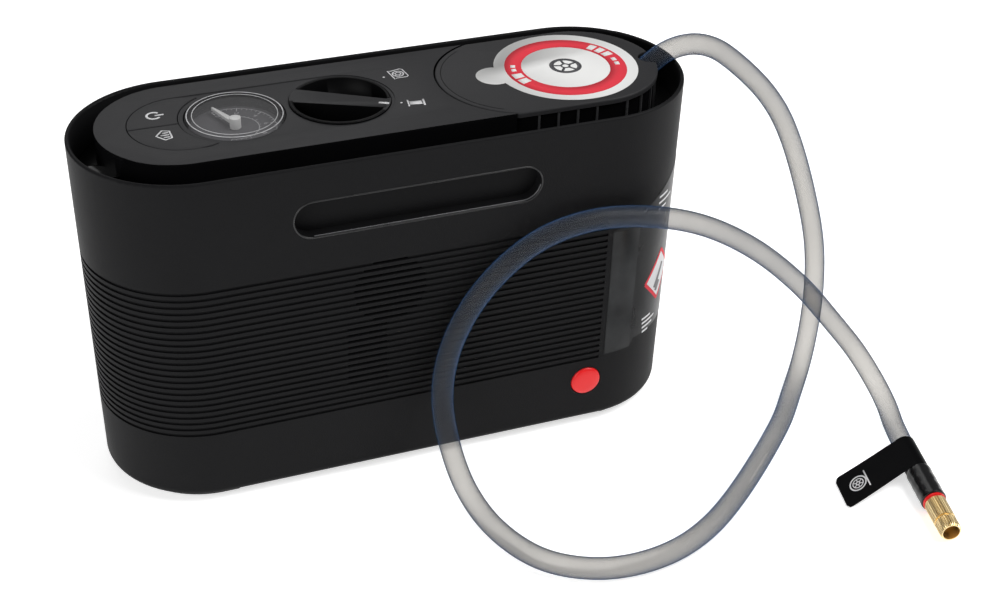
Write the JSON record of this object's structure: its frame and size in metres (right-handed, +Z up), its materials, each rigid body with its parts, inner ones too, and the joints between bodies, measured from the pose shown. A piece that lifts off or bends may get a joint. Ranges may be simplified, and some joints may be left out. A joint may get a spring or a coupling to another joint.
{
  "type": "portable tire inflator",
  "caption": "Upright rounded box with a round gauge, selector knob, push buttons, lift-out sealant cartridge and clear hose; pumps air or sealant into a tire.",
  "frame": {"origin": "centre of the underside on the floor, measured without the hose", "axes": "+X along the length, to the right as seen from the front; +Y towards the back; +Z up"},
  "size_m": [0.3721, 0.2284, 0.1789],
  "materials": {
    "shell_plastic": "fine matte moulded black",
    "deck_plastic": "matte moulded dark grey",
    "button_plastic": "matte moulded dark grey",
    "knob_plastic": "satin moulded dark grey",
    "frame_plastic": "glossy moulded black",
    "inner_plastic": "matte moulded black",
    "foot_rubber": "soft black rubber",
    "seal_rubber": "black rubber",
    "label_film": "satin printed film",
    "sticker_film": "satin printed film",
    "flag_film": "satin printed film",
    "lens_plastic": "clear moulded lens",
    "hose_plastic": "clear flexible hose",
    "white_plastic": "white moulded plastic",
    "red_plastic": "glossy red moulding",
    "bottle_plastic": "natural blow-moulded bottle",
    "steel": "plated or ground steel",
    "cast_alloy": "die-cast and machined",
    "brass": "machined brass",
    "copper": "lacquered copper winding",
    "circuit": "green circuit board"
  },
  "bodies": {
    "housing": {"outer_shell": "shell_plastic", "base_plate": "inner_plastic", "feet": "foot_rubber", "inner_frame": "frame_plastic", "top_deck": "deck_plastic", "side_label": "label_film", "base_screws": "steel", "lead_grommet": "seal_rubber", "lamp_lens": "lens_plastic", "lamp_board": "circuit", "gauge_body": "inner_plastic", "gauge_dial": "label_film", "gauge_lens": "lens_plastic", "bourdon_tube": "brass", "switch_board": "circuit", "tact_switches": "inner_plastic", "valve_block": "inner_plastic", "motor_can": "steel", "motor_end_cap": "inner_plastic", "motor_magnets": "inner_plastic", "gear_plate": "cast_alloy", "crank_bearing": "brass", "pump_cylinder": "cast_alloy", "cylinder_head": "cast_alloy", "reed_valve": "steel", "head_screws": "steel", "air_tubes": "seal_rubber", "air_socket": "inner_plastic"},
    "power_button": {"power_button": "button_plastic"},
    "light_button": {"light_button": "button_plastic"},
    "selector": {"selector_knob": "knob_plastic", "selector_spool": "white_plastic"},
    "needle": {"gauge_needle": "white_plastic", "needle_staff": "steel"},
    "release": {"release_button": "red_plastic", "release_latch": "steel", "release_spring": "steel"},
    "cartridge": {"sealant_bottle": "bottle_plastic", "bottle_port": "inner_plastic", "cartridge_cap": "deck_plastic", "cap_seal": "seal_rubber", "pickup_elbow": "white_plastic", "hose_gland": "frame_plastic", "speed_label": "sticker_film", "sealant_hose": "hose_plastic", "hose_flag": "flag_film", "hose_sleeve": "seal_rubber", "hose_washer": "red_plastic", "valve_coupling": "brass"},
    "rotor": {"motor_armature": "copper", "motor_shaft": "steel", "motor_pinion": "brass", "cooling_fan": "inner_plastic"},
    "crank": {"crank_gear": "white_plastic", "crank_shaft": "steel", "crank_pin": "steel"},
    "piston": {"piston": "cast_alloy", "piston_seal": "seal_rubber", "wrist_pin": "steel"},
    "rod": {"connecting_rod": "inner_plastic"}
  },
  "joints": [
    {"name": "power_press", "type": "slide", "parent": "housing", "child": "power_button", "axis": [0, 0, -1], "range_m": [0, 0.0008], "stiffness_N_per_m": 400},
    {"name": "light_press", "type": "slide", "parent": "housing", "child": "light_button", "axis": [0, 0, -1], "range_m": [0, 0.0008], "stiffness_N_per_m": 400},
    {"name": "selector_turn", "type": "hinge", "parent": "housing", "child": "selector", "pos_m": [-0.0212, 0, 0.165], "axis": [0, 0, 1], "range_deg": [0, 55]},
    {"name": "needle_turn", "type": "hinge", "parent": "housing", "child": "needle", "pos_m": [-0.068, 0, 0.166], "axis": [0, 0, -1], "range_deg": [0, 225], "stiffness_Nm_per_rad": 0.00002},
    {"name": "release_push", "type": "slide", "parent": "housing", "child": "release", "axis": [0, 1, 0], "range_m": [0, 0.002], "stiffness_N_per_m": 1500, "deforming": ["release_spring"]},
    {"name": "cartridge_lift", "type": "slide", "parent": "housing", "child": "cartridge", "axis": [0, 0, 1], "range_m": [0, 0.165]},
    {"name": "crank_turn", "type": "hinge", "parent": "housing", "child": "crank", "pos_m": [-0.044, 0, 0.058], "axis": [1, 0, 0], "continuous": true},
    {"name": "rotor_turn", "type": "hinge", "parent": "housing", "child": "rotor", "pos_m": [-0.08, 0, 0.032], "axis": [1, 0, 0], "continuous": true},
    {"name": "piston_stroke", "type": "slide", "parent": "housing", "child": "piston", "axis": [0, 0, 1], "range_m": [0, 0.016]},
    {"name": "rod_swing", "type": "hinge", "parent": "piston", "child": "rod", "pos_m": [-0.035, 0, 0.086], "axis": [1, 0, 0], "range_deg": [-12.8, 12.8]}
  ],
  "couplings": [
    {"joint": "rotor_turn", "follows": "crank_turn", "ratio": -3.3333}
  ]
}
